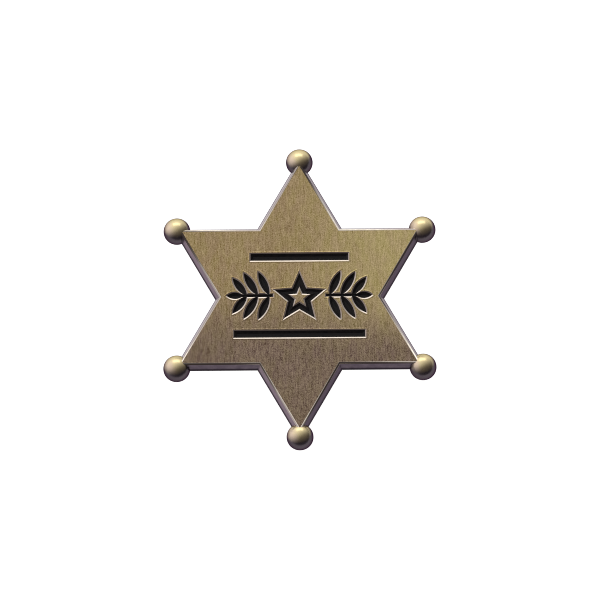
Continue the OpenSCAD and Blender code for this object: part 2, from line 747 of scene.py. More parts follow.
@dataclass
class Nodes:
    """A node tree being wired. What its methods take is a socket or a plain value.

    Attributes:
        tree: The node tree of a material or of a group.
    """

    tree: bpy.types.NodeTree

    def add(
        self, kind: str, feeds: dict[str | int, object] | None = None, **settings: object
    ) -> bpy.types.Node:
        """Adds a node.

        Args:
            kind: Blender's name for the node type.
            feeds: What goes into its inputs, by their names or places.
            settings: Property names and their values.

        Returns:
            The new node.
        """
        node = self.tree.nodes.new(kind)
        for name, value in settings.items():
            setattr(node, name, value)
        for place, value in (feeds or {}).items():
            self.feed(node.inputs[place], value)
        return node

    def feed(self, socket: bpy.types.NodeSocket, value: object) -> None:
        """Links a socket to an input, or sets the input's value.

        Args:
            socket: The input.
            value: An output socket, or a plain value. A colour has three numbers.
        """
        if isinstance(value, bpy.types.NodeSocket):
            self.tree.links.new(value, socket)
        else:
            socket.default_value = (*value, 1) if socket.type == "RGBA" else value

    def maths(self, operation: str, first: object, second: object) -> bpy.types.NodeSocket:
        """Adds a Math node, and gives its result."""
        node = self.add("ShaderNodeMath", {0: first, 1: second}, operation=operation)
        return node.outputs[0]

    def vector_maths(self, operation: str, first: object, second: object) -> bpy.types.NodeSocket:
        """Adds a Vector Math node, and gives its result."""
        node = self.add("ShaderNodeVectorMath", {0: first, 1: second}, operation=operation)
        return node.outputs["Value" if operation == "DOT_PRODUCT" else "Vector"]

    def vector(self, x: object, y: object, z: object) -> bpy.types.NodeSocket:
        """Makes a vector of three values."""
        return self.add("ShaderNodeCombineXYZ", {0: x, 1: y, 2: z}).outputs[0]

    def noise(
        self, place: object, scale: object, detail: float, roughness: float
    ) -> bpy.types.NodeSocket:
        """Adds a Noise Texture.

        Args:
            place: The coordinates.
            scale: Cells for each unit of the coordinates.
            detail: How many finer layers are added.
            roughness: How strong the finer layers are.

        Returns:
            The noise, from 0 to 1.
        """
        feeds = {"Vector": place, "Scale": scale, "Detail": detail, "Roughness": roughness}
        return self.add("ShaderNodeTexNoise", feeds).outputs["Fac"]

    def spread(self, value: object, low: object, high: object) -> bpy.types.NodeSocket:
        """Stretches a value so that low becomes 0 and high becomes 1, with soft ends.

        Args:
            value: The value to stretch.
            low: What becomes 0.
            high: What becomes 1.

        Returns:
            The stretched value, kept between 0 and 1.
        """
        feeds = {"Value": value, "From Min": low, "From Max": high}
        node = self.add("ShaderNodeMapRange", feeds, interpolation_type="SMOOTHSTEP")
        return node.outputs["Result"]

    def between(self, factor: object, first: object, second: object) -> bpy.types.NodeSocket:
        """Mixes two colours.

        Args:
            factor: 0 gives the first colour and 1 the second.
            first: The first colour.
            second: The second colour.

        Returns:
            The mixed colour.
        """
        feeds = {0: factor, 6: first, 7: second}
        node = self.add("ShaderNodeMix", feeds, data_type="RGBA", clamp_factor=True)
        return node.outputs[2]


class GroupBuilder:
    """A shader node group with named inputs, and with outputs that are values."""

    def __init__(self, name: str, **inputs: float | Triple) -> None:
        """Makes the group and its inputs.

        Args:
            name: The group's name.
            inputs: The inputs' names and usual values. Three numbers make a vector.
        """
        self.tree = bpy.data.node_groups.new(name, "ShaderNodeTree")
        for each, value in inputs.items():
            kind = "NodeSocketVector" if isinstance(value, tuple) else "NodeSocketFloat"
            socket = self.tree.interface.new_socket(each, in_out="INPUT", socket_type=kind)
            socket.default_value = value
        self.nodes = Nodes(self.tree)
        self.given = self.nodes.add("NodeGroupInput").outputs

    def put_out(self, **outputs: bpy.types.NodeSocket) -> bpy.types.NodeTree:
        """Makes the group's outputs.

        Args:
            outputs: The outputs' names and values.

        Returns:
            The finished group.
        """
        for name in outputs:
            self.tree.interface.new_socket(name, in_out="OUTPUT", socket_type="NodeSocketFloat")
        self.nodes.add("NodeGroupOutput", outputs)
        return self.tree


@dataclass
class Effects:
    """The effects that several finishes share, each a node group that is built once.

    Attributes:
        speckle_scale: How many cells of the speckle there are in a metre.
        broad: How many cells the broad streaks have for each one of the fine streaks.
        broad_share: How much of the streaks the broad ones are.
        cloud_low: The noise below which there is no patch.
        cloud_high: The noise above which a patch is whole.
        wander_scale: How many cells of the noise that moves a slope's edge are in a metre.
        grain: Streaks along one direction, with a speckle.
        clouds: Soft patches.
        slope: A mask that grows along one direction.
    """

    speckle_scale: float = 9000.0
    broad: Triple = (0.35, 0.25, 0.35)
    broad_share: float = 0.3
    cloud_low: float = 0.35
    cloud_high: float = 0.65
    wander_scale: float = 900.0
    grain: bpy.types.NodeTree = field(init=False)
    clouds: bpy.types.NodeTree = field(init=False)
    slope: bpy.types.NodeTree = field(init=False)

    def __post_init__(self) -> None:
        """Builds the groups."""
        self.grain, self.clouds, self.slope = self._grain(), self._clouds(), self._slope()

    def _grain(self) -> bpy.types.NodeTree:
        """Builds brushed grain: fine streaks along one direction, with a speckle over them.

        Returns:
            The group. Streaks, Speckle and Height run from 0 to 1 with a middle of 0.5.
        """
        group = GroupBuilder("brushed_grain", Place=(0.0, 0.0, 0.0), Across=9000.0, Along=1100.0)
        n, given = group.nodes, group.given
        stretch = n.vector(given["Across"], given["Along"], given["Across"])
        stretched = n.vector_maths("MULTIPLY", given["Place"], stretch)
        fine = n.noise(stretched, 1.0, detail=1.0, roughness=0.6)
        widened = n.vector_maths("MULTIPLY", stretched, self.broad)
        broad = n.noise(widened, 1.0, detail=1.0, roughness=0.5)
        streaks = n.maths(
            "ADD",
            n.maths("MULTIPLY", fine, 1 - self.broad_share),
            n.maths("MULTIPLY", broad, self.broad_share),
        )
        speckle = n.noise(given["Place"], self.speckle_scale, detail=1.0, roughness=0.6)
        halves = [n.maths("MULTIPLY", each, 0.5) for each in (streaks, speckle)]
        return group.put_out(Streaks=streaks, Speckle=speckle, Height=n.maths("ADD", *halves))

    def _clouds(self) -> bpy.types.NodeTree:
        """Builds soft patches that are longer one way than the other.

        Returns:
            The group. Mask runs from 0 to 1.
        """
        group = GroupBuilder("soft_clouds", Place=(0.0, 0.0, 0.0), Scale=300.0, Stretch=3.0)
        n, given = group.nodes, group.given
        stretch = n.vector(1.0, n.maths("DIVIDE", 1.0, given["Stretch"]), 1.0)
        place = n.vector_maths("MULTIPLY", given["Place"], stretch)
        noise = n.noise(place, given["Scale"], detail=3.0, roughness=0.55)
        return group.put_out(Mask=n.spread(noise, self.cloud_low, self.cloud_high))

    def _slope(self) -> bpy.types.NodeTree:
        """Builds a mask that grows along one direction, with a wandering edge.

        Returns:
            The group. Mask is 0 where Along reaches less than Low towards Way, and 1 past High.
        """
        group = GroupBuilder(
            "soft_slope",
            Place=(0.0, 0.0, 0.0),
            Along=(0.0, 0.0, 0.0),
            Way=(0.0, 0.0, 1.0),
            Low=0.0,
            High=1.0,
            Wander=0.0,
        )
        n, given = group.nodes, group.given
        reach = n.vector_maths("DOT_PRODUCT", given["Along"], given["Way"])
        noise = n.noise(given["Place"], self.wander_scale, detail=3.0, roughness=0.6)
        wander = n.maths("MULTIPLY", n.maths("SUBTRACT", noise, MIDDLE), given["Wander"])
        reached = n.maths("ADD", reach, wander)
        return group.put_out(Mask=n.spread(reached, given["Low"], given["High"]))


@dataclass(frozen=True)
class Slope:
    """How a mask grows towards one side.

    Attributes:
        way: Which way it grows.
        low: How far that way it starts.
        high: How far that way it is whole.
        wander: How far its edge wanders.
    """

    way: Triple
    low: float
    high: float
    wander: float = 0.0


@dataclass
class Surface:
    """A material being wired.

    Attributes:
        nodes: Its node tree.
        shader: Its Principled shader.
        effects: The shared node groups.
        place: Object coordinates.
        facing: The surface's normal, in the object's own axes.
    """

    nodes: Nodes
    shader: bpy.types.Node
    effects: Effects
    place: bpy.types.NodeSocket = field(init=False)
    facing: bpy.types.NodeSocket = field(init=False)

    def __post_init__(self) -> None:
        """Adds the coordinates."""
        coordinates = self.nodes.add("ShaderNodeTexCoord").outputs
        self.place, self.facing = coordinates["Object"], coordinates["Normal"]

    def put(self, name: str, value: object) -> None:
        """Feeds a socket or a plain value to one of the shader's inputs."""
        self.nodes.feed(self.shader.inputs[name], value)

    def effect(self, group: bpy.types.NodeTree, **values: object) -> bpy.types.bpy_prop_collection:
        """Places a shared group in the material.

        Args:
            group: The shared group.
            values: What goes into its inputs, apart from Place.

        Returns:
            Its outputs.
        """
        feeds = {"Place": self.place, **values}
        return self.nodes.add("ShaderNodeGroup", feeds, node_tree=group).outputs

    def grain(self, cells: tuple[float, float]) -> bpy.types.bpy_prop_collection:
        """Adds grain with a number of cells to the metre, across and along the star."""
        return self.effect(self.effects.grain, Across=cells[0], Along=cells[1])

    def clouds(self, scale: float, stretch: float = 1.0) -> bpy.types.NodeSocket:
        """Adds patches with a number of cells to the metre, longer along the star by a factor."""
        return self.effect(self.effects.clouds, Scale=scale, Stretch=stretch)["Mask"]

    def slope(self, along: bpy.types.NodeSocket, slope: Slope) -> bpy.types.NodeSocket:
        """Adds a mask that grows with the place, or with the way that the surface faces.

        Args:
            along: The place or the normal.
            slope: How it grows.

        Returns:
            The mask.
        """
        outputs = self.effect(
            self.effects.slope,
            Along=along,
            Way=slope.way,
            Low=slope.low,
            High=slope.high,
            Wander=slope.wander,
        )
        return outputs["Mask"]


@dataclass(frozen=True)
class Finish:
    """A surface finish, which makes one material.

    Attributes:
        name: The material's name.
        roughness: The middle of the surface's roughness.
        metallic: 1 for uncoated metal and 0 for paint.
        swing: How much rougher it is where its relief or its wear is whole than where it is 0.
        depth: How deep its relief is, in metres.
        cells: How many cells of its grain there are in a metre, across and along the star.
        patches: How many cells its patches have to the metre.
    """

    name: str
    roughness: float
    metallic: float = 1.0
    swing: float = 0.0
    depth: float = 0.0
    cells: tuple[float, float] = (0.0, 0.0)
    patches: float = 0.0

    def material(self, effects: Effects) -> bpy.types.Material:
        """Makes the finish's material.

        Args:
            effects: The shared node groups.

        Returns:
            The material.
        """
        material = bpy.data.materials.new(self.name)
        material.use_nodes = True
        material.node_tree.nodes.clear()
        nodes = Nodes(material.node_tree)
        feeds = {"Metallic": self.metallic, "Roughness": self.roughness}
        shader = nodes.add("ShaderNodeBsdfPrincipled", feeds)
        nodes.add("ShaderNodeOutputMaterial", {"Surface": shader.outputs[0]})
        self.wire(Surface(nodes, shader, effects))
        return material

    def wire(self, surface: Surface) -> None:
        """Adds the finish's own nodes to its material."""
        raise NotImplementedError

    def skin(
        self,
        surface: Surface,
        height: bpy.types.NodeSocket,
        rough: bpy.types.NodeSocket | None = None,
    ) -> None:
        """Adds the finish's relief, and lets its roughness change with a mask.

        Args:
            surface: The material being wired.
            height: The relief, from 0 to 1.
            rough: The mask, or None where the roughness is even.
        """
        nodes = surface.nodes
        if rough is not None:
            lowest = self.roughness - self.swing / 2
            swung = nodes.maths("MULTIPLY", rough, self.swing)
            surface.put("Roughness", nodes.maths("ADD", swung, lowest))
        bump = nodes.add("ShaderNodeBump", {"Distance": self.depth, "Height": height})
        surface.put("Normal", bump.outputs[0])


@dataclass(frozen=True)
class BrushedBronze(Finish):
    """Antique bronze that was brushed straight up and down.

    Attributes:
        olive: The yellow tone of the metal.
        brown: The pink-brown tone of the metal.
        lower_arms_painted_shade: How much darker the painted shade makes the lower arms.
        upper_right_painted_light: How much lighter the painted light makes the upper right.
        grain_tint: The colour that a grain adds or takes away.
        streaks: How strong the streaks are.
        speckle: How strong the speckle is.
        fade: How much weaker both are in the lower arms.
        tone_stretch: How much longer the patches of tone are along the star.
        upper: Where the upper arms are.
        right: Where the right-hand arms are.
    """

    name: str = "brushed_bronze"
    roughness: float = 0.42
    swing: float = -0.5
    depth: float = 12e-6
    cells: tuple[float, float] = (12000.0, 800.0)
    patches: float = 800.0
    olive: Triple = (0.401, 0.310, 0.143)
    brown: Triple = (0.401, 0.298, 0.158)
    lower_arms_painted_shade: Triple = (0.62, 0.61, 0.82)
    upper_right_painted_light: Triple = (1.25, 1.35, 1.25)
    grain_tint: Triple = (0.52, 0.43, 0.285)
    streaks: float = 1.05
    speckle: float = 1.3
    fade: float = 0.1
    tone_stretch: float = 2.5
    upper: Slope = Slope((0.0, 1.0, 0.0), -9e-3, 4e-3)
    right: Slope = Slope((1.0, 0.0, 0.0), -4e-3, 14e-3)

    def wire(self, surface: Surface) -> None:
        """Adds the metal's two tones, painted shade on the lower arms, painted light on the upper
        right, and its grain.

        Args:
            surface: The material being wired.
        """
        n, grain = surface.nodes, surface.grain(self.cells)
        tone = surface.clouds(self.patches, self.tone_stretch)
        upper = surface.slope(surface.place, self.upper)
        right = surface.slope(surface.place, self.right)
        # Painted light and shade: the upper right is made lighter and the lower arms darker.
        polished = n.maths("MULTIPLY", upper, right)
        drift = n.between(polished, n.between(upper, self.lower_arms_painted_shade, WHITE), self.upper_right_painted_light)
        metal = n.between(tone, self.olive, self.brown)
        colour = n.vector_maths("MULTIPLY", metal, drift)
        swings = []
        for name, strength in (("Streaks", self.streaks), ("Speckle", self.speckle)):
            local = n.maths("ADD", n.maths("MULTIPLY", upper, self.fade), strength - self.fade)
            centred = n.maths("SUBTRACT", grain[name], MIDDLE)
            swings.append(n.maths("MULTIPLY", centred, local))
        swing = n.maths("ADD", *swings)
        added = n.vector_maths("MULTIPLY", n.vector(swing, swing, swing), self.grain_tint)
        surface.put("Base Color", n.vector_maths("ADD", colour, added))
        self.skin(surface, grain["Height"], grain["Height"])


@dataclass(frozen=True)
class PolishedEdge(Finish):
    """The broken edges of the face, where the plating is polished bright.

    Attributes:
        bright: The colour of the polished metal.
        dull: The colour where the polish is thin.
        upper_left_painted_shade: The colour of the edges that face the upper left, darker as
            painted shade.
        shaded: The colour of the edges that face away from the light, darker as painted shade.
        reached: Which edges face the light and keep the polished colour.
        upper_left: Which edges face the upper left.
    """

    name: str = "polished_edge"
    roughness: float = 0.2
    swing: float = 0.1
    depth: float = 1e-6
    cells: tuple[float, float] = (3000.0, 3000.0)
    patches: float = 900.0
    bright: Triple = (0.67, 0.63, 0.53)
    dull: Triple = (0.56, 0.515, 0.435)
    upper_left_painted_shade: Triple = (0.30, 0.258, 0.232)
    shaded: Triple = (0.19, 0.16, 0.135)
    reached: Slope = Slope((-0.4, 0.9, 0.0), -0.2, 0.05)
    upper_left: Slope = Slope((-0.87, 0.5, 0.0), 0.1, 0.4)

    def wire(self, surface: Surface) -> None:
        """Adds thin places in the polish, painted shade on edges facing the upper left or away
        from the light, and fine marks.

        Args:
            surface: The material being wired.
        """
        n, grain = surface.nodes, surface.grain(self.cells)
        polish = n.between(surface.clouds(self.patches), self.bright, self.dull)
        # Painted shade: the edges that face the upper left are made darker.
        polish = n.between(surface.slope(surface.facing, self.upper_left), polish, self.upper_left_painted_shade)
        # Painted shade: the edges that face away from the light are made darker.
        colour = n.between(surface.slope(surface.facing, self.reached), self.shaded, polish)
        surface.put("Base Color", colour)
        self.skin(surface, grain["Height"], grain["Speckle"])


@dataclass(frozen=True)
class CastBack(Finish):
    """The plain back, left as it was cast under an even patina.

    Attributes:
        brown: The colour of the patina.
        dark: Its colour where it is thicker.
    """

    name: str = "cast_back"
    roughness: float = 0.5
    depth: float = 12e-6
    cells: tuple[float, float] = (3500.0, 3500.0)
    patches: float = 350.0
    brown: Triple = (0.33, 0.26, 0.165)
    dark: Triple = (0.25, 0.197, 0.13)

    def wire(self, surface: Surface) -> None:
        """Adds the drift of the patina and the skin of the casting.

        Args:
            surface: The material being wired.
        """
        drift = surface.clouds(self.patches)
        surface.put("Base Color", surface.nodes.between(drift, self.dark, self.brown))
        self.skin(surface, surface.grain(self.cells)["Height"])


@dataclass(frozen=True)
class DarkPatina(Finish):
    """The side walls, under a whole dark patina, with painted light and a painted shadow.

    Attributes:
        edge_tint: What a glancing view of it is tinted.
        dark: The patina's colour.
        lit_colour: Its colour on the walls that face left, lighter as painted light.
        upward_lit: Its colour on the walls that face up the star, lighter as painted light.
        upward_left_lit: Its colour on the walls that face both up the star and left, lighter
            still.
        crease: Its near-black colour along the lower edge of a wall, a painted shadow.
        lit_from_left: Which walls face left and get the painted light.
        upward: Which walls face up the star.
        above_crease: Where the painted shadow along the lower edge ends.
    """

    name: str = "dark_patina"
    roughness: float = 0.365
    swing: float = 0.25
    depth: float = 3e-6
    cells: tuple[float, float] = (3500.0, 2500.0)
    edge_tint: Triple = (0.76, 0.68, 0.76)
    dark: Triple = (0.072, 0.057, 0.071)
    lit_colour: Triple = (0.19, 0.15, 0.17)
    upward_lit: Triple = (0.26, 0.25, 0.24)
    upward_left_lit: Triple = (0.47, 0.455, 0.425)
    crease: Triple = (0.012, 0.009, 0.012)
    lit_from_left: Slope = Slope((-1.0, 0.0, 0.0), -0.3, 1.0, 0.9)
    upward: Slope = Slope((0.0, 1.0, 0.0), 0.3, 0.45)
    above_crease: Slope = Slope((0.0, 0.0, 1.0), 4.7e-3, 5.15e-3, 2e-4)

    def wire(self, surface: Surface) -> None:
        """Adds painted light on walls facing left or up the star, a painted shadow at their foot,
        and the rough skin of the casting.

        Args:
            surface: The material being wired.
        """
        n, grain = surface.nodes, surface.grain(self.cells)
        surface.put("Specular Tint", self.edge_tint)
        # Painted light: the walls that face left, and those that face up the star, are made
        # lighter.
        thin = surface.slope(surface.facing, self.lit_from_left)
        lower = n.between(thin, self.dark, self.lit_colour)
        upper = n.between(thin, self.upward_lit, self.upward_left_lit)
        tone = n.between(surface.slope(surface.facing, self.upward), lower, upper)
        # Painted shadow: the lower edge of each wall, where it meets the back, is made near black.
        above = surface.slope(surface.place, self.above_crease)
        surface.put("Base Color", n.between(above, self.crease, tone))
        self.skin(surface, grain["Height"], grain["Speckle"])


@dataclass(frozen=True)
class BallWithPaintedShade(Finish):
    """The ball tips, bright on their lit tops, with painted shade and a painted pink reflection.

    Attributes:
        edge_tint: What a glancing view of it is tinted.
        bright: The colour of the metal on the lit tops.
        pink_reflection_tint: Its colour on the left, a painted pink tint of the reflection there.
        dark: Its colour on the sides, a dark patina colour placed there as painted shade.
        crown: Which way the lit tops face; the sides away from it get the painted shade.
        pink_reflection_side: Which way the side with the painted pink reflection faces.
    """

    name: str = "rubbed_ball"
    roughness: float = 0.31
    swing: float = 0.1
    depth: float = 2e-7
    cells: tuple[float, float] = (3500.0, 1800.0)
    edge_tint: Triple = (0.3, 0.25, 0.3)
    bright: Triple = (0.63, 0.54, 0.295)
    pink_reflection_tint: Triple = (0.60, 0.485, 0.36)
    dark: Triple = (0.085, 0.070, 0.080)
    crown: Slope = Slope((-0.15, 0.38, 0.9), 0.36, 0.88, 0.2)
    pink_reflection_side: Slope = Slope((-0.9, -0.35, 0.0), 0.0, 0.6, 0.6)

    def wire(self, surface: Surface) -> None:
        """Adds painted shade on the sides, a painted pink reflection on the left, and the satin of
        the lit top.

        Args:
            surface: The material being wired.
        """
        surface.put("Specular Tint", self.edge_tint)
        # Painted reflection: a pink tint on the side that faces left and to the front.
        pink_reflection_side = surface.slope(surface.facing, self.pink_reflection_side)
        lit_colour = surface.nodes.between(pink_reflection_side, self.bright, self.pink_reflection_tint)
        # Painted shade: the sides that face away from the light get the dark colour.
        crown = surface.slope(surface.facing, self.crown)
        surface.put("Base Color", surface.nodes.between(crown, self.dark, lit_colour))
        self.skin(surface, surface.grain(self.cells)["Height"], pink_reflection_side)


@dataclass(frozen=True)
class BlackEnamel(Finish):
    """The black fill of the recesses.

    Attributes:
        black: The colour of the fill.
        dusty: Its colour where it is dusty.
        gloss: How strongly it mirrors.
    """

    name: str = "black_enamel"
    roughness: float = 0.55
    metallic: float = 0.0
    swing: float = 0.2
    depth: float = 6e-6
    patches: float = 1500.0
    black: Triple = (0.003, 0.0025, 0.003)
    dusty: Triple = (0.010, 0.008, 0.007)
    gloss: float = 0.2

    def wire(self, surface: Surface) -> None:
        """Adds dusty places and the uneven skin of the fill.

        Args:
            surface: The material being wired.
        """
        surface.put("Specular IOR Level", self.gloss)
        dust = surface.clouds(self.patches)
        surface.put("Base Color", surface.nodes.between(dust, self.black, self.dusty))
        self.skin(surface, dust, dust)


@dataclass(frozen=True)
class PlatedSteel(Finish):
    """The bar pin's plating, duller in places, with fine drawing marks along the bar.

    Attributes:
        bright: The colour of the plating.
        dull: Its colour where it is tarnished.
    """

    name: str = "plated_steel"
    roughness: float = 0.38
    swing: float = 0.3
    depth: float = 3e-6
    cells: tuple[float, float] = (900.0, 7000.0)
    patches: float = 500.0
    bright: Triple = (0.30, 0.25, 0.19)
    dull: Triple = (0.16, 0.13, 0.10)

    def wire(self, surface: Surface) -> None:
        """Adds tarnished places and the drawing marks.

        Args:
            surface: The material being wired.
        """
        tarnish = surface.clouds(self.patches)
        surface.put("Base Color", surface.nodes.between(tarnish, self.bright, self.dull))
        marks = surface.grain(self.cells)["Height"]
        self.skin(surface, marks, marks)


@dataclass(frozen=True)
class PaleFloor(Finish):
    """The plain pale surface that the badge lies on, lit from below like a light table.

    Attributes:
        pale: The floor's colour.
        glow: How brightly it is lit from below.
    """

    name: str = "pale_floor"
    roughness: float = 0.9
    metallic: float = 0.0
    pale: Triple = (0.3, 0.3, 0.3)
    glow: float = 0.96

    def wire(self, surface: Surface) -> None:
        """Sets the floor's plain colour and its glow.

        Args:
            surface: The material being wired.
        """
        surface.put("Base Color", self.pale)
        surface.put("Emission Color", WHITE)
        surface.put("Emission Strength", self.glow)
        surface.put("Specular IOR Level", 0.0)


CASTING_FINISHES = {
    Region.FACE: BrushedBronze(),
    Region.EDGE: PolishedEdge(),
    Region.WALL: DarkPatina(),
    Region.BALL: BallWithPaintedShade(),
    Region.BACK: CastBack(),
    # The recess rims that face up the star keep the bright colour; the others get painted shade.
    Region.RIM: PolishedEdge(
        name="polished_rim",
        bright=(0.50, 0.45, 0.385),
        dull=(0.43, 0.385, 0.32),
        upper_left_painted_shade=(0.50, 0.45, 0.385),
        shaded=(0.30, 0.25, 0.21),
        reached=Slope((0.0, 1.0, 0.0), -0.05, 0.22),
    ),
    # The recess walls keep the dark patina; those that face left still get the painted light.
    Region.RECESS: DarkPatina(
        name="recess_patina", upward_lit=DarkPatina.dark, upward_left_lit=DarkPatina.lit_colour
    ),
}


# The badge


@dataclass
class Casting:
    """The star: the plate, its six ball tips and its recesses, cast in one.

    Attributes:
        sizes: The star's main sizes.
        design: What is recessed into its face.
        back_ease: How far from the plate's back edge its rounding starts.
        bevel_ease: How far from the corners of its bevel their rounding starts.
        flat_w: Width of the flat ring just inside the edges of the back and of the face.
        rim_w: Width of the broken edge round each recess.
        rim_h: Height of that edge.
        rim_ease: How far from a corner of that edge its rounding starts.
        lip_w: Width of the slope that the metal swells up by round each recess.
        lip_h: How far it swells up.
        lip_root: How far below the face the solid of the swelling starts.
        lip_overlap: How far that solid reaches into the recess's broken edge.
        cut_past: How far the solids that cut the recesses rise above the face.
        ball_detail: How often the ball's faces are split.
        ease_steps: How many edges a small rounding has.
        bevel_steps: How many edges each rounding of the bevel has.
        close: How near to a ball or to the back a face's middle counts as on it.
        face_close: The same for the face of the star.
        edge_zone: How far inside the edges of the face the recesses stay at least.
        back_facing: How squarely the faces of the back look down.
        bevel_facing: How far up the faces of the bevel look at least.
    """

    sizes: StarSizes
    design: Design
    back_ease: float = 0.05
    bevel_ease: float = 0.09
    flat_w: float = 0.54
    rim_w: float = 0.22
    rim_h: float = 0.04
    rim_ease: float = 0.03
    lip_w: float = 0.15
    lip_h: float = 0.03
    lip_root: float = 0.15
    lip_overlap: float = 0.02
    cut_past: float = 1.0
    ball_detail: int = 5
    ease_steps: int = 3
    bevel_steps: int = 5
    close: float = 0.01
    face_close: float = 0.001
    edge_zone: float = 0.27
    back_facing: float = 0.9
    bevel_facing: float = 0.4

    def build(self) -> bpy.types.Object:
        """Models the casting.

        Returns:
            The finished mesh object, in metres.
        """
        piece = self._plate()
        self._combine_design(piece, Operation.UNION, self._lip_rings())
        self._combine_design(piece, Operation.DIFFERENCE, self._recess_rings(), self._standing)
        combine(piece, Operation.UNION, join(self._balls()))
        self._mark_regions(piece)
        return finish_mesh(piece, "star_casting")

    def _combine_design(
        self,
        piece: bpy.types.Object,
        operation: Operation,
        rings: Sequence[Step],
        island: Callable[[Sequence[Step]], Sequence[Step]] | None = None,
    ) -> None:
        """Changes the plate by every recessed shape.

        Args:
            piece: The plate.
            operation: How it is changed.
            rings: The rings of the shapes' solids, from the lowest up.
            island: Gives the rings of what is left standing inside the centre star.
        """
        for motif in Motif:
            solids = self.design.solids(motif, lambda _half_width: rings, island)
            combine(piece, operation, *solids)

    def _plate(self) -> bpy.types.Object:
        """Models the plate with its leaning walls and its bevel.

        Returns:
            The plate, in millimetres.
        """
        s = self.sizes
        wall_top_z, face_spread = s.face_z - s.bevel, -s.wall_lean - s.bevel
        half_way = Step((s.back_z + wall_top_z) / 2, -s.wall_lean / 2)
        back = [Step(s.back_z, -self.flat_w), Step(s.back_z, 0), half_way]
        front = [
            half_way,
            Step(wall_top_z, -s.wall_lean),
            Step(s.face_z, face_spread),
            Step(s.face_z, face_spread - self.flat_w),
        ]
        hexagram_notch = 1 / math.sqrt(3)
        star = StarOutline((0.0, 0.0), (s.back_edge_d, s.back_edge_d), s.arms, hexagram_notch)
        rings = eased(back, self.back_ease, self.ease_steps)[:-1]
        return star.raised("plate", rings + eased(front, self.bevel_ease, self.bevel_steps)[1:])

    def _recess_rings(self) -> list[Step]:
        """Gives the walls of a recess: a lean below, and a broken edge at the face.

        Returns:
            The rings, from the lowest up.
        """
        s = self.sizes
        corners = [
            Step(s.floor_z, -s.draft),
            Step(s.face_z - self.rim_h, 0),
            Step(s.face_z + self.lip_h, self.rim_w),
            Step(s.face_z + self.cut_past, self.rim_w),
        ]
        return eased(corners, self.rim_ease, self.ease_steps)

    @staticmethod
    def _standing(rings: Sequence[Step]) -> list[Step]:
        """Turns the walls of a recess into those of what is left standing inside it."""
        return [Step(ring.z, -ring.spread) for ring in rings]

    def _lip_rings(self) -> list[Step]:
        """Gives the low swelling round a recess, which its cutter then cuts through.

        Returns:
            The rings, from the lowest up.
        """
        face_z, foot = self.sizes.face_z, self.rim_w + 2 * self.lip_w
        return [
            Step(face_z - self.lip_root, foot),
            Step(face_z - self.lip_h, foot),
            Step(face_z + self.lip_h, self.rim_w - self.lip_overlap),
        ]

    def _balls(self) -> list[bpy.types.Object]:
        """Models the ball tips, each flat where it meets the plane of the back.

        Returns:
            The balls, in millimetres.
        """
        s, balls = self.sizes, []
        for centre in s.ball_centres():
            ball = primitive(
                "ball_tip",
                bpy.ops.mesh.primitive_ico_sphere_add,
                subdivisions=self.ball_detail,
                radius=s.ball_r,
                location=centre,
            )
            with editing(ball, select_all=True):
                back = {"plane_co": (0, 0, s.back_z), "plane_no": (0, 0, 1)}
                bpy.ops.mesh.bisect(**back, use_fill=True, clear_inner=True)
            settle(ball)
            face_outwards(ball)
            balls.append(ball)
        return balls

    def region(self, middle: Vector, normal: Vector) -> Region:
        """Says which part of the casting a face belongs to.

        Args:
            middle: The face's middle, in millimetres.
            normal: The face's normal.

        Returns:
            The face's region.
        """
        s = self.sizes
        if normal.z < -self.back_facing and middle.z < s.back_z + self.close:
            return Region.BACK
        if any(abs((middle - c).length - s.ball_r) < self.close for c in s.ball_centres()):
            return Region.BALL
        if middle.z > s.face_z - self.face_close:
            return Region.FACE
        if s.edge_distance(middle) < s.face_edge_d - self.edge_zone:
            return Region.RIM if middle.z > s.face_z - self.rim_h else Region.RECESS
        return Region.EDGE if normal.z > self.bevel_facing else Region.WALL

    def _mark_regions(self, piece: bpy.types.Object) -> None:
        """Gives each face its region's slot, and smooths the round ones.

        Args:
            piece: The casting, in millimetres.
        """
        settle(piece)
        for face in piece.data.polygons:
            region = self.region(face.center, face.normal)
            face.material_index = region.value
            face.use_smooth = region in (Region.BALL, Region.EDGE)

    def dress(self, piece: bpy.types.Object, effects: Effects) -> None:
        """Gives the casting its materials, and its place in the frame.

        Args:
            piece: The finished casting.
            effects: The shared node groups.
        """
        materials = [CASTING_FINISHES[region].material(effects) for region in Region]
        hand_over(piece, "star", "antique_bronze", *materials)


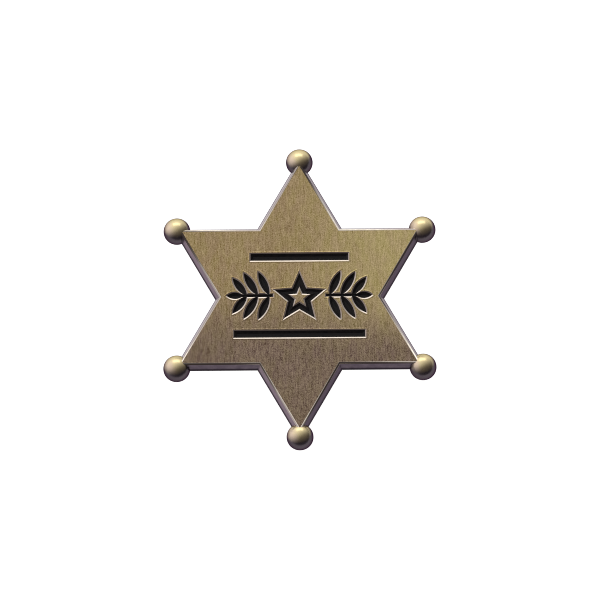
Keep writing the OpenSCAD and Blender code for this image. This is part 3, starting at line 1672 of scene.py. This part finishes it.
@dataclass
class EnamelFill:
    """The black fill of the recesses, dished where it has shrunk between the walls.

    Attributes:
        sizes: The star's main sizes.
        design: The recessed design.
        gap: Room left between the fill and the walls.
        edge_depth: How far below the face the fill meets the walls.
        lip: Width of the flat edge that the fill keeps at the walls.
        dish_depth: How much deeper the middle of the fill is.
        dish_run: How far the fill slopes down inside that edge.
        dish_share: How much of half of a narrow recess's width the slope may take.
        clearance: How far the solid that dishes the fill rises above it.
        past: How far the solids left out of the centre star pass the fill.
    """

    sizes: StarSizes
    design: Design
    gap: float = 0.02
    edge_depth: float = 0.15
    lip: float = 0.03
    dish_depth: float = 0.2
    dish_run: float = 0.3
    dish_share: float = 0.65
    clearance: float = 0.25
    past: float = 0.05

    def _body(self, _half_width: float) -> list[Step]:
        """Gives the rings of the fill before it is dished.

        Args:
            _half_width: Half of the recess's width, which they don't depend on.

        Returns:
            The rings, from the lowest up.
        """
        s = self.sizes
        return [
            Step(s.floor_z + self.gap, -s.draft - self.gap),
            Step(s.face_z - self.edge_depth, -self.gap),
        ]

    def _dish(self, half_width: float) -> list[Step]:
        """Gives the rings of the solid that dishes the fill.

        Args:
            half_width: Half of the recess's width, which limits the slopes.

        Returns:
            The rings, from the lowest up.
        """
        top = self.sizes.face_z - self.edge_depth
        run = min(self.dish_run, self.dish_share * half_width)
        depth = self.dish_depth * run / self.dish_run
        edge = -self.gap - self.lip
        return [
            Step(top - depth, edge - run),
            Step(top + self.clearance, edge + self.clearance * run / depth),
        ]

    def _standing(self, rings: Sequence[Step]) -> list[Step]:
        """Turns the walls of a recess into those of what stands in it, a little taller.

        Args:
            rings: The lowest and the highest ring of the walls.

        Returns:
            The rings of what stands in it.
        """
        lowest, highest = rings
        slope = (highest.spread - lowest.spread) / (highest.z - lowest.z)
        return [
            Step(lowest.z - self.past, -lowest.spread + slope * self.past),
            Step(highest.z + self.past, -highest.spread - slope * self.past),
        ]

    def _fill(self, motif: Motif) -> bpy.types.Object:
        """Models the fill of one recessed shape.

        Args:
            motif: Which shape.

        Returns:
            The fill, in metres.
        """
        piece, *rest = self.design.solids(motif, self._body, self._standing)
        combine(piece, Operation.UNION, *rest)
        first, *others = self.design.solids(motif, self._dish, self._standing)
        combine(piece, Operation.DIFFERENCE, *others, first)
        return finish_mesh(piece, f"{motif.value}_fill")

    def build(self) -> dict[Motif, bpy.types.Object]:
        """Models all the fills.

        Returns:
            The finished mesh object of each recessed shape, in metres.
        """
        return {motif: self._fill(motif) for motif in Motif}

    def dress(self, fills: dict[Motif, bpy.types.Object], effects: Effects) -> None:
        """Gives the fills their material, and their place in the frame.

        Args:
            fills: The fill of each recessed shape.
            effects: The shared node groups.
        """
        black = BlackEnamel().material(effects)
        for motif, piece in fills.items():
            hand_over(piece, f"{motif.value}_enamel", "black_enamel", black)


@dataclass
class BarPin:
    """The bar pin across the back: a strip, a hinge, a catch and a pointed wire, in one.

    Attributes:
        strip_t: Thickness of the strip and of its folded ends.
        end_l: Length of the hinge's ears and of the catch along the bar.
        ear_gap: Room between the ears.
        ear_round: Radius of the ears' lower corners.
        corner_r: Radius of the strip's corners.
        edge_r: Radius of the edges all over.
        edge_steps: How many steps their rounding has.
        sharp: The angle past which an edge is rounded, in degrees.
        smooth: The angle up to which faces are shaded as one, in degrees.
        coil_r: Outer radius of the wire's coil.
        coil_turns: How many turns the coil has.
        coil_play: Room between the coil and each ear.
        rivet_r: Radius of the hinge's rivet.
        head_r: Radius of the rivet's heads.
        head_t: Thickness of those heads.
        head_steps: How many steps a quarter of a circle has that gives a head its dome.
        wire_d: Diameter of the pin wire.
        wire_z: Height of the pin wire.
        point_l: Length of the wire's point.
        point_steps: How many steps the point has.
        point_curve: How late the point thins. At 1 it would be a plain cone.
        point_thinning: How much of the wire's width the point loses.
        wire_past: How far the point passes the end of the strip.
        hook_gap: Width inside the hook of the catch.
        bend_r: Inner radius of the hook's bends.
        lip_top: Height of the hook's lip.
        sides: How many sides the round parts have.
        bend_steps: How many steps each bend has.
        facing: How squarely a face or an edge points one way to be picked, as a cosine.
    """

    strip_t: float = 0.7
    end_l: float = 2.8
    ear_gap: float = 2.0
    ear_round: float = 0.8
    corner_r: float = 1.1
    edge_r: float = 0.09
    edge_steps: int = 2
    sharp: float = 50.0
    smooth: float = 40.0
    coil_r: float = 1.0
    coil_turns: int = 3
    coil_play: float = 0.03
    rivet_r: float = 0.4
    head_r: float = 0.7
    head_t: float = 0.35
    head_steps: int = 4
    wire_d: float = 0.9
    wire_z: float = 1.35
    point_l: float = 2.7
    point_steps: int = 6
    point_curve: float = 1.6
    point_thinning: float = 0.88
    wire_past: float = 1.1
    hook_gap: float = 1.5
    bend_r: float = 0.35
    lip_top: float = 1.6
    sides: int = 32
    bend_steps: int = 8
    facing: float = 0.9
    lowest: Vector = field(init=False)
    highest: Vector = field(init=False)

    def __post_init__(self) -> None:
        """Reads the room that the bar pin has, in millimetres."""
        self.lowest, self.highest = (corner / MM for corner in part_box("bar_pin"))

    @property
    def strip_start(self) -> float:
        """Where the strip starts, at the catch."""
        return self.lowest.x + self.wire_past

    @property
    def strip_z(self) -> float:
        """Height of the middle of the strip."""
        return self.highest.z - self.strip_t / 2

    @property
    def ear_face(self) -> float:
        """From the middle of the bar to the ears' outer faces."""
        return self.ear_gap / 2 + self.strip_t

    def _axle(self, y: float) -> Vector:
        """Gives a point on the axis of the hinge."""
        return Vector((self.highest.x - self.end_l / 2, y, self.wire_z))

    def build(self) -> bpy.types.Object:
        """Models the bar pin.

        Returns:
            The finished mesh object, in metres.
        """
        parts = (*self._ears(), self._hook(), self._rivet(), self._coil(), self._wire())
        piece = combine(self._strip(), Operation.UNION, *parts)
        activate(piece)
        bpy.ops.object.shade_smooth_by_angle(angle=math.radians(self.smooth))
        return finish_mesh(piece, "brooch_bar")

    def _block(self, name: str, low: Vector, high: Vector) -> bpy.types.Object:
        """Adds a rectangular block between two corners.

        Args:
            name: The new object's name.
            low: Its lowest corner.
            high: Its highest one.

        Returns:
            The new object.
        """
        add, middle = bpy.ops.mesh.primitive_cube_add, (low + high) / 2
        piece = primitive(name, add, size=1, location=middle, scale=high - low)
        settle(piece)
        return piece

    def _soften(self, piece: bpy.types.Object) -> bpy.types.Object:
        """Rounds all the sharp edges of a part a little, and gives it back.

        Args:
            piece: The part.

        Returns:
            The same part.
        """
        bevel = piece.modifiers.new("soften", "BEVEL")
        bevel.width = self.edge_r
        bevel.segments = self.edge_steps
        bevel.limit_method = "ANGLE"
        bevel.angle_limit = math.radians(self.sharp)
        apply_modifiers(piece)
        return piece

    def _round_edges(
        self, piece: bpy.types.Object, along: Triple, radius: float, below: float = math.inf
    ) -> None:
        """Rounds the edges of a part that run one way.

        Args:
            piece: The part.
            along: The way that the edges run.
            radius: How far the rounding reaches.
            below: The height that the edges are below.
        """
        axis = Vector(along)
        with editing(piece):
            select(
                piece,
                Element.EDGE,
                lambda place, way: abs(way.dot(axis)) > self.facing and place.z < below,
            )
            bpy.ops.mesh.bevel(offset=radius, segments=self.bend_steps, affect="EDGES")

    def _strip(self) -> bpy.types.Object:
        """Models the strip with its round corners.

        Returns:
            The finished part, in millimetres.
        """
        low = Vector((self.strip_start, self.lowest.y, self.highest.z - self.strip_t))
        piece = self._block("strip", low, self.highest)
        self._round_edges(piece, (0, 0, 1), self.corner_r)
        return self._soften(piece)

    def _ears(self) -> list[bpy.types.Object]:
        """Models the two ears of the hinge, round at their lower corners.

        Returns:
            The finished parts, in millimetres.
        """
        ears = []
        for side in (-1, 1):
            faces = sorted((side * self.ear_gap / 2, side * self.ear_face))
            low = Vector((self.highest.x - self.end_l, faces[0], self.lowest.z))
            ear = self._block("ear", low, Vector((self.highest.x, faces[1], self.strip_z)))
            self._round_edges(ear, (0, 1, 0), self.ear_round, below=self.wire_z)
            ears.append(self._soften(ear))
        return ears

    def _hook(self) -> bpy.types.Object:
        """Models the catch, a band folded down, under the wire and up again.

        Returns:
            The finished part, in millimetres.
        """
        inside_y = self.hook_gap / 2
        bend_y = inside_y - self.bend_r
        bend_z = self.lowest.z + (self.bend_r + self.strip_t)
        low = Vector((self.strip_start, inside_y, bend_z))
        high = Vector((self.strip_start + self.end_l, inside_y + self.strip_t, self.strip_z))
        piece = self._block("hook", low, high)

        def foot_end(place: Vector, way: Vector) -> bool:
            """Says whether a face ends the band where its foot starts."""
            return way.y < -self.facing and place.y < bend_y + self.edge_r

        def lip_end(place: Vector, way: Vector) -> bool:
            """Says whether a face ends the band where its lip starts."""
            return way.z > self.facing and place.y < -inside_y

        with editing(piece):
            select(piece, Element.FACE, lambda _place, way: way.z < -self.facing)
            self._bend(bend_y, bend_z)
            select(piece, Element.FACE, foot_end)
            extrude((0, -2 * bend_y, 0))
            self._bend(-bend_y, bend_z)
            select(piece, Element.FACE, lip_end)
            extrude((0, 0, self.lip_top - bend_z))
        face_outwards(piece)
        return self._soften(piece)

    def _bend(self, y: float, z: float) -> None:
        """Carries the selected end of the band round a quarter turn about an axis along X."""
        quarter, centre = math.pi / 2, (0, y, z)
        bpy.ops.mesh.spin(steps=self.bend_steps, angle=quarter, center=centre, axis=(1, 0, 0))

    def _rod(self, name: str, radius: float, start: Vector, end: Vector) -> bpy.types.Object:
        """Adds a round rod between two points.

        Args:
            name: The new object's name.
            radius: Its radius.
            start: The middle of its first end.
            end: The middle of its other end.

        Returns:
            The new object.
        """
        way = end - start
        piece = primitive(
            name,
            bpy.ops.mesh.primitive_cylinder_add,
            vertices=self.sides,
            radius=radius,
            depth=way.length,
            location=(start + end) / 2,
            rotation=way.to_track_quat("Z", "Y").to_euler(),
        )
        settle(piece)
        return piece

    def _rivet(self) -> bpy.types.Object:
        """Models the rivet with its two domed heads.

        Returns:
            The finished part, in millimetres.
        """
        ends = [self._axle(side * self.ear_face) for side in (-1, 1)]
        piece = self._rod("rivet", self.rivet_r, *ends)
        for side, centre in zip((-1, 1), ends):
            self._head(piece, side, centre)
        face_outwards(piece)
        return piece

    def _head(self, piece: bpy.types.Object, side: int, centre: Vector) -> None:
        """Raises the domed head at one end of the rivet.

        Args:
            piece: The rivet.
            side: -1 for the end towards -Y and 1 for the other one.
            centre: The middle of that end.
        """
        growth = self.head_r / self.rivet_r
        with editing(piece):
            select(
                piece,
                Element.FACE,
                lambda place, way: way.y * side > self.facing and place.y * side > 0,
            )
            extrude((0, 0, 0), (growth, 1, growth), centre)
            for i in range(1, self.head_steps):
                before, turn = (j / self.head_steps * math.pi / 2 for j in (i - 1, i))
                lift = self.head_t * (math.sin(turn) - math.sin(before))
                shrink = math.cos(turn) / math.cos(before)
                extrude((0, side * lift, 0), (shrink, 1, shrink), centre)

    def _coil(self) -> bpy.types.Object:
        """Models the turns of the wire round the rivet, as a rod with a groove between turns.

        Returns:
            The finished part, in millimetres.
        """
        half_width = self.ear_gap / 2 - self.coil_play
        turn_r = half_width / self.coil_turns
        core_r = self.coil_r - turn_r
        start = self._axle(-self.ear_gap / 2 - self.strip_t / 2)
        piece = self._rod("coil", core_r, start, self._axle(-half_width))
        with editing(piece):
            select(piece, Element.FACE, lambda _place, way: way.y > self.facing)
            radius = core_r
            for i in list(range(self.bend_steps)) * self.coil_turns:
                before, after = (j / self.bend_steps * math.pi for j in (i, i + 1))
                run = turn_r * (math.cos(before) - math.cos(after))
                growth = (core_r + turn_r * math.sin(after)) / radius
                radius *= growth
                extrude((0, run, 0), (growth, 1, growth), self._axle(0))
            extrude((0, self.strip_t / 2, 0))
        face_outwards(piece)
        return piece

    def _wire(self) -> bpy.types.Object:
        """Models the pin wire with its point.

        Returns:
            The finished part, in millimetres.
        """
        shoulder = Vector((self.lowest.x + self.point_l, 0, self.wire_z))
        piece = self._rod("wire", self.wire_d / 2, self._axle(0), shoulder)
        with editing(piece):
            select(piece, Element.FACE, lambda _place, way: way.x < -self.facing)
            for i in range(self.point_steps):
                before, after = (
                    1 - (j / self.point_steps) ** self.point_curve * self.point_thinning
                    for j in (i, i + 1)
                )
                share, run = after / before, self.point_l / self.point_steps
                extrude((-run, 0, 0), (1, share, share), shoulder)
        face_outwards(piece)
        return piece

    def dress(self, piece: bpy.types.Object, effects: Effects) -> None:
        """Gives the bar pin its material, and its place in the frame.

        Args:
            piece: The finished bar pin.
            effects: The shared node groups.
        """
        hand_over(piece, "bar_pin", "pin_metal", PlatedSteel().material(effects))


@dataclass(frozen=True)
class Softbox:
    """A flat soft light.

    Attributes:
        name: The light's name.
        place: Where its middle hangs, in metres.
        aim: What it is turned towards.
        size: Its width and height, in metres.
        radiance: How bright its surface is, where 1 is as bright as a white floor in full light.
        tint: Its colour.
    """

    name: str
    place: Triple
    aim: Triple
    size: tuple[float, float]
    radiance: float
    tint: Triple

    def hang(self) -> None:
        """Adds the light, which the camera doesn't see."""
        data = bpy.data.lights.new(self.name, "AREA")
        data.shape = "RECTANGLE"
        data.size, data.size_y = self.size
        data.energy = self.radiance * math.pi * math.prod(self.size)
        data.color = self.tint
        light = bpy.data.objects.new(self.name, data)
        bpy.context.scene.collection.objects.link(light)
        light.location = self.place
        light.rotation_mode = "QUATERNION"
        back = Vector(self.place) - Vector(self.aim)
        light.rotation_quaternion = back.to_track_quat("Z", "Y")
        light.visible_camera = False


@dataclass(frozen=True)
class Studio:
    """The floor, the light, the room and the camera.

    Attributes:
        image_px: Width and height of the picture, in pixels.
        mm_per_px: Size of a pixel at the middle of the star's back.
        distance: From the camera to the middle of the star's back, in metres.
        tilt: Angle between the camera's line of sight and the face's normal, in degrees.
        sideways: How far that tilt turns from -Y towards +X, in degrees.
        roll: How far the picture is turned, in degrees.
        centre_px: Where the middle of the star's back lies in the picture.
        sight: The nearest and the farthest that the camera sees, in metres.
        floor_size: Width of the floor, in metres.
        pixel_filter: Width of the filter that makes a pixel from its samples, in pixels.
        softbox: The light.
        lighter_way: The way to the lighter side of the room.
        dim_until: Cosine of the angle off that way at which the room is dimmest.
        dim: Light from the dimmest side of the room.
        lighter: Light from its lightest side.
    """

    image_px: float = 600.0
    mm_per_px: float = 0.1448
    distance: float = 1.06
    tilt: float = 14.86
    sideways: float = 4.28
    roll: float = 0.16
    centre_px: tuple[float, float] = (299.72, 299.42)
    sight: tuple[float, float] = (0.01, 20.0)
    floor_size: float = 6.0
    pixel_filter: float = 1.0
    softbox: Softbox = Softbox(
        "rear", (-0.02, 0.325, 0.215), (0, 0, 0), (0.36, 0.17), 1.1, (1, 0.98, 0.93)
    )
    lighter_way: Triple = (-0.55, 0.8, -0.1)
    dim_until: float = -0.6
    dim: Triple = (0.175, 0.155, 0.165)
    lighter: Triple = (1.4, 1.36, 1.42)

    def camera(self, target: Vector) -> None:
        """Places the camera, as the picture shows the badge.

        Args:
            target: The middle of the star's back, in metres.
        """
        tilt, turn = math.radians(self.tilt), math.radians(self.sideways)
        across = math.sin(tilt)
        back = Vector((across * math.sin(turn), -across * math.cos(turn), math.cos(tilt)))
        right = Vector((0, 1, 0)).cross(back).normalized()
        roll = Matrix.Rotation(-math.radians(self.roll), 3, back)
        right, up = roll @ right, roll @ back.cross(right)
        metres_per_px = self.mm_per_px * MM
        off_x, off_y = ((self.image_px / 2 - each) * metres_per_px for each in self.centre_px)
        place = target + right * off_x - up * off_y + back * self.distance
        data = bpy.data.cameras.new("camera")
        half_width = self.image_px / 2 * metres_per_px
        data.lens = data.sensor_width / 2 * self.distance / half_width
        data.clip_start, data.clip_end = self.sight
        camera = bpy.data.objects.new("camera", data)
        bpy.context.scene.collection.objects.link(camera)
        turned = Matrix((right, up, back)).transposed().to_4x4()
        camera.matrix_world = Matrix.Translation(place) @ turned
        bpy.context.scene.camera = camera

    def floor(self, effects: Effects) -> None:
        """Lays the floor.

        Args:
            effects: The shared node groups.
        """
        piece = primitive("floor", bpy.ops.mesh.primitive_plane_add, size=self.floor_size)
        piece.data.materials.append(PaleFloor().material(effects))

    def light_up(self) -> None:
        """Hangs the light, and sets the room, dim on one side and lighter on the other."""
        self.softbox.hang()
        world = bpy.data.worlds.new("surroundings")
        world.use_nodes = True
        nodes = Nodes(world.node_tree)
        direction = nodes.add("ShaderNodeTexCoord").outputs["Generated"]
        way = Vector(self.lighter_way).normalized()
        towards = nodes.vector_maths("DOT_PRODUCT", direction, way)
        share = nodes.spread(towards, self.dim_until, 1.0)
        background = world.node_tree.nodes["Background"]
        nodes.feed(background.inputs["Color"], nodes.between(share, self.dim, self.lighter))
        bpy.context.scene.world = world
        bpy.context.scene.view_settings.view_transform = "Standard"
        bpy.context.scene.cycles.filter_width = self.pixel_filter


def main() -> None:
    """Builds the badge and its studio in order."""
    logging.basicConfig(level=logging.INFO, format="%(name)s: %(message)s")
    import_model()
    sizes, design, effects = StarSizes.from_frame(), Design(), Effects()

    casting = Casting(sizes, design)
    star = casting.build()
    casting.dress(star, effects)

    enamel = EnamelFill(sizes, design)
    fills = enamel.build()
    enamel.dress(fills, effects)

    pin = BarPin()
    bar = pin.build()
    pin.dress(bar, effects)

    for piece in (star, *fills.values(), bar):
        log.info("%s: %d faces", piece.name, len(piece.data.polygons))

    studio = Studio()
    studio.camera(Vector((0, 0, sizes.back_z * MM)))
    studio.floor(effects)
    studio.light_up()


if __name__ == "__main__":
    main()
